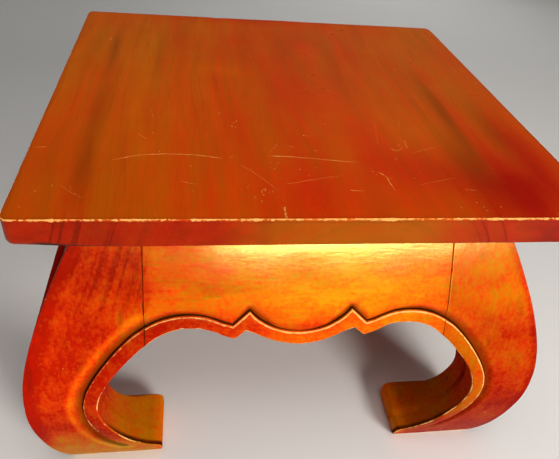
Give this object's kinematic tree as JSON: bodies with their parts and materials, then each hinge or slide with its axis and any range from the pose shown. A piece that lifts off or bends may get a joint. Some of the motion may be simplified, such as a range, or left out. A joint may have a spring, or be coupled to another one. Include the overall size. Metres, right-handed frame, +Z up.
{
  "type": "kang table",
  "caption": "Low square table with a thick overhanging top, swelling cusped aprons with a carved bead, and bulging legs cut to a C whose feet curl inward.",
  "frame": {"origin": "centre of the footprint, on the floor", "axes": "+Z up, -Y is the front with the long apron, +X to the right seen from the front"},
  "size_m": [0.5598, 0.486, 0.39],
  "materials": {
    "top_wood": "old glossy lacquer over figured wood, worn at the edges",
    "frame_wood": "glossy orange-red lacquer, worn on the bead and arrises",
    "inner_wood": "bare planed wood"
  },
  "bodies": {
    "root": {"table_top": "top_wood", "leg_front_left": "frame_wood", "leg_front_right": "frame_wood", "leg_back_left": "frame_wood", "leg_back_right": "frame_wood", "apron_front": "frame_wood", "apron_back": "frame_wood", "apron_left": "frame_wood", "apron_right": "frame_wood", "batten_front": "inner_wood", "batten_back": "inner_wood", "cleat_front": "inner_wood", "cleat_back": "inner_wood", "cleat_left": "inner_wood", "cleat_right": "inner_wood", "apron_pins": "inner_wood"}
  },
  "joints": []
}
